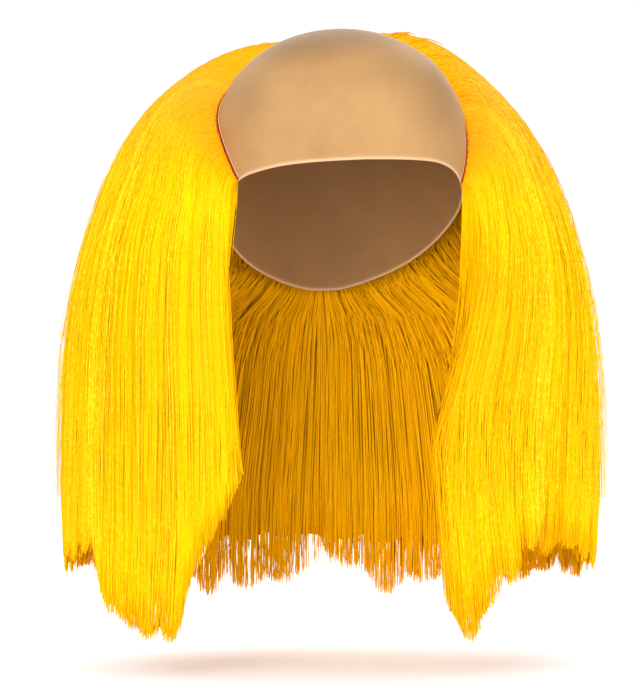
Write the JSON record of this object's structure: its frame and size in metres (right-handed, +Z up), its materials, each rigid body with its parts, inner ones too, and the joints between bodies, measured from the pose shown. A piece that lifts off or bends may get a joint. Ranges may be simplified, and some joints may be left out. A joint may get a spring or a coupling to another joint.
{
  "type": "bald-cap wig",
  "caption": "Bald latex cap with long straight yellow hair hanging from round its sides and back, open at the face and hollow for a head.",
  "frame": {"origin": "middle of the head hollow, on the head's centre plane, level with the cap's edge at the temples", "axes": "+Z up along the standing wearer, -Y the way the face looks, +X towards the wearer's left"},
  "size_m": [0.3405, 0.2278, 0.3751],
  "materials": {
    "cap_latex": "matte skin-toned latex",
    "seam_thread": "matte dark red thread",
    "hair_fibre": "satin bright yellow fibre"
  },
  "bodies": {
    "root": {"bald_cap": "cap_latex", "hairline_seam": "seam_thread", "front_lock_right": "hair_fibre", "side_lock_right": "hair_fibre", "back_lock_right": "hair_fibre", "back_lock_left": "hair_fibre", "side_lock_left": "hair_fibre", "front_lock_left": "hair_fibre"}
  },
  "joints": []
}
